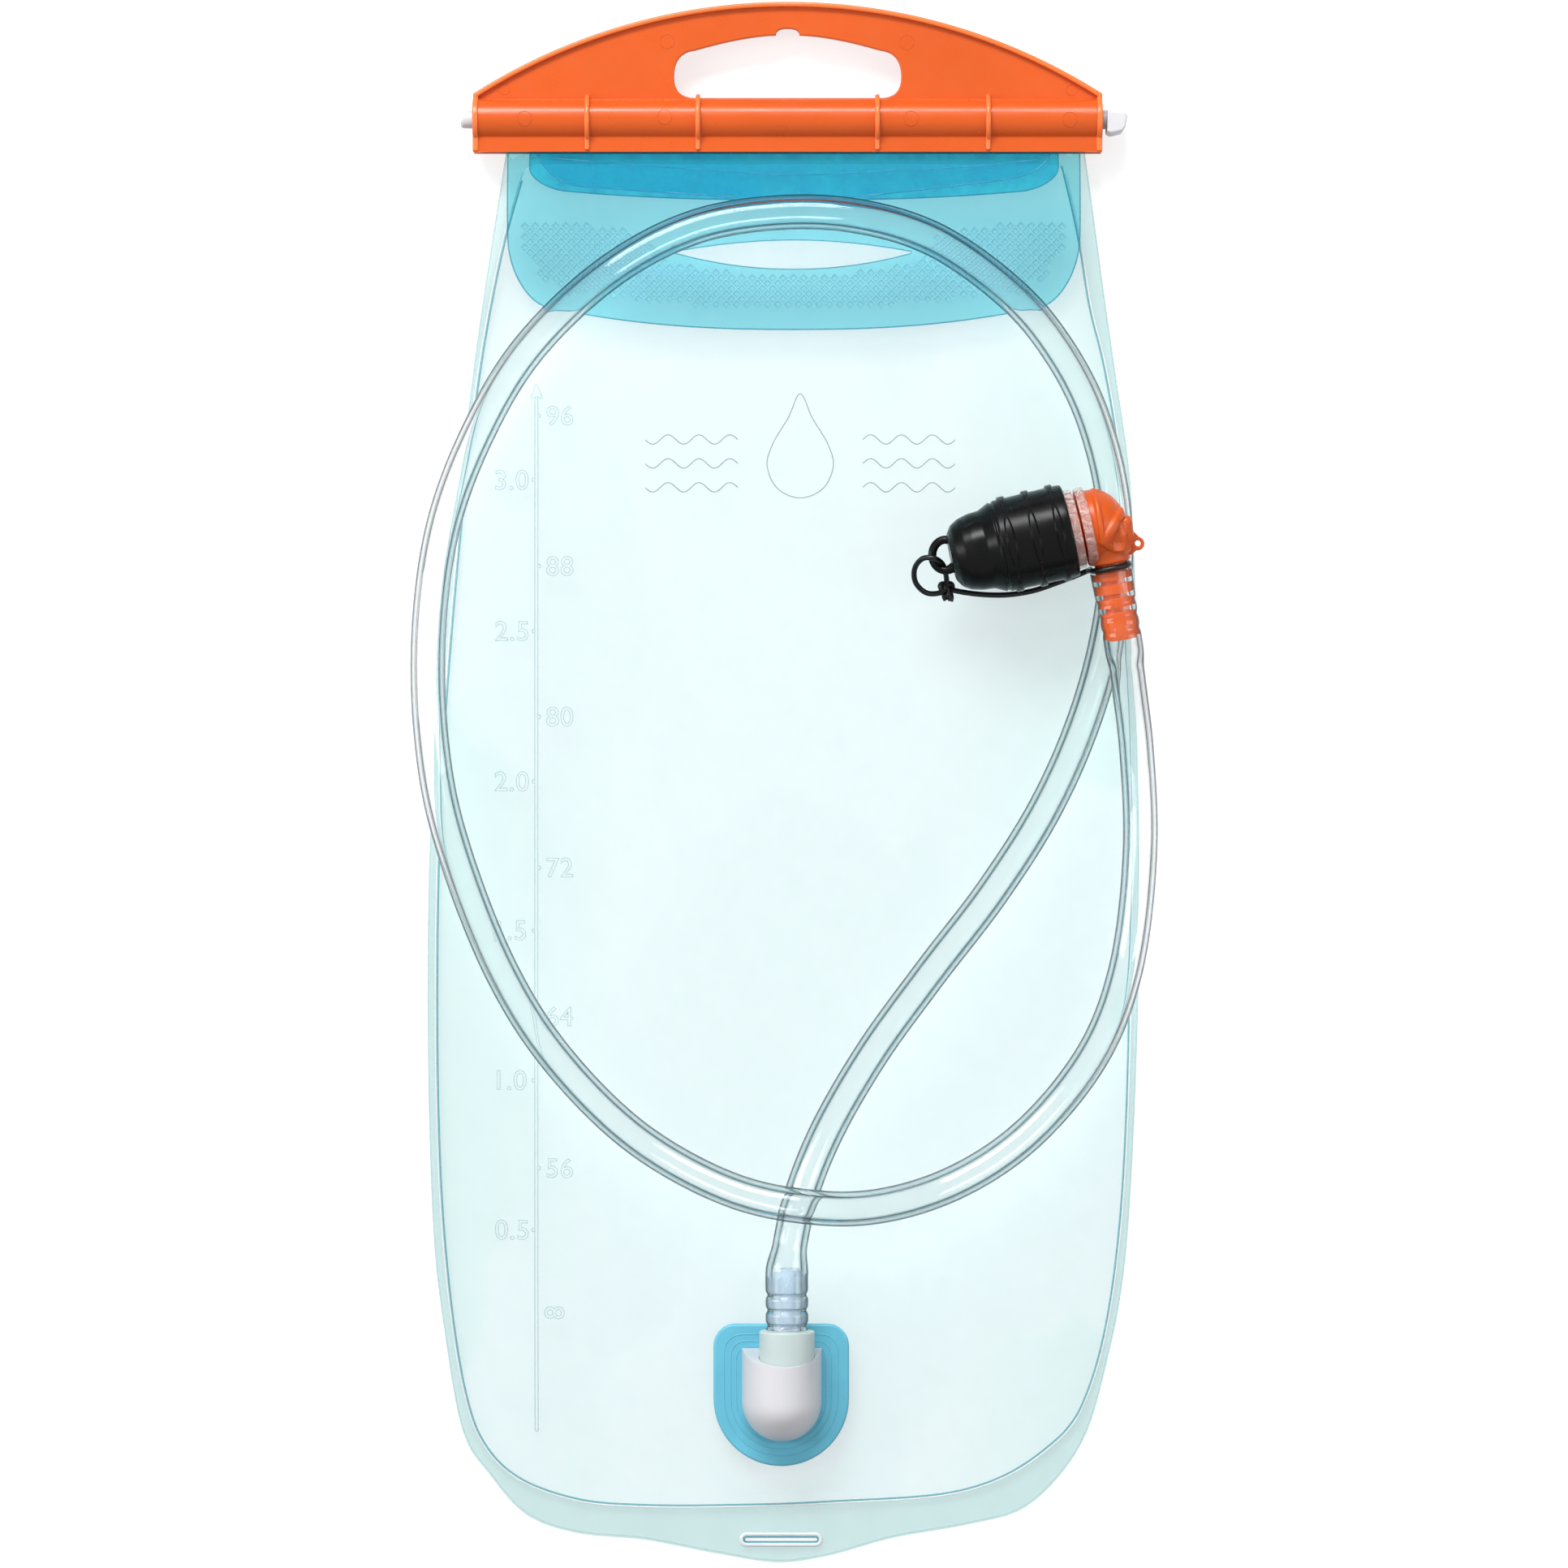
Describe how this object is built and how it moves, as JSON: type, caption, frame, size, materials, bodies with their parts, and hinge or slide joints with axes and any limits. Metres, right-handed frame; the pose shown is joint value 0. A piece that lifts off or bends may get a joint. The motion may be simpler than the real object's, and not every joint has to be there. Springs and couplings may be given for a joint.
{
  "type": "hydration bladder",
  "caption": "Flat film drinking reservoir with a roll-over slide closure, an outlet port, a looped clear hose and a right-angle bite valve under a tethered dust cap.",
  "frame": {"origin": "middle of the reservoir's and closure's footprint, on the surface that the back film lies on", "axes": "+Y from the bottom tab towards the closure's handle, +Z out of the front film, +X towards the closure rod's hook"},
  "size_m": [0.2029, 0.4238, 0.0343],
  "materials": {
    "clear_film": "clear satin film with a faint blue-green tint",
    "blue_film": "translucent blue film, embossed",
    "dark_blue_film": "translucent blue film, hazy",
    "orange_plastic": "satin moulded orange",
    "white_plastic": "satin moulded white",
    "blue_plastic": "translucent blue moulded flange",
    "milky_plastic": "milky translucent green-grey",
    "clear_plastic": "clear moulded",
    "clear_hose": "clear glossy flexible tube",
    "silicone": "clear silicone, lightly roughened",
    "seal_rubber": "matte seal rubber",
    "black_rubber": "satin black",
    "black_cord": "smooth black elastic"
  },
  "bodies": {
    "bag": {"back_film": "clear_film", "front_film": "clear_film", "grip_flap": "blue_film", "inner_lip": "dark_blue_film", "closure_rod": "white_plastic", "port_flange": "blue_plastic", "port_housing": "white_plastic", "port_seal": "seal_rubber", "port_collar": "milky_plastic", "hose_barb": "clear_plastic", "drink_hose": "clear_hose", "valve_elbow": "orange_plastic", "grip_band": "silicone", "tether_strand": "black_cord"},
    "closure": {"slider": "orange_plastic"},
    "shutoff": {"shutoff_barrel": "orange_plastic", "barrel_seal": "seal_rubber", "bite_valve": "silicone"},
    "cap": {"dust_cap": "black_rubber", "tether_knot": "black_cord"}
  },
  "joints": [
    {"name": "slider_pull", "type": "slide", "parent": "bag", "child": "closure", "axis": [-1, 0, 0], "range_m": [0, 0.178]},
    {"name": "shutoff_turn", "type": "hinge", "parent": "bag", "child": "shutoff", "pos_m": [0.0832, 0.0696, 0.0215], "axis": [-0.975, -0.222, 0], "range_deg": [0, 90]},
    {"name": "cap_pull", "type": "slide", "parent": "bag", "child": "cap", "axis": [-0.975, -0.222, 0], "range_m": [0, 0.03]}
  ]
}
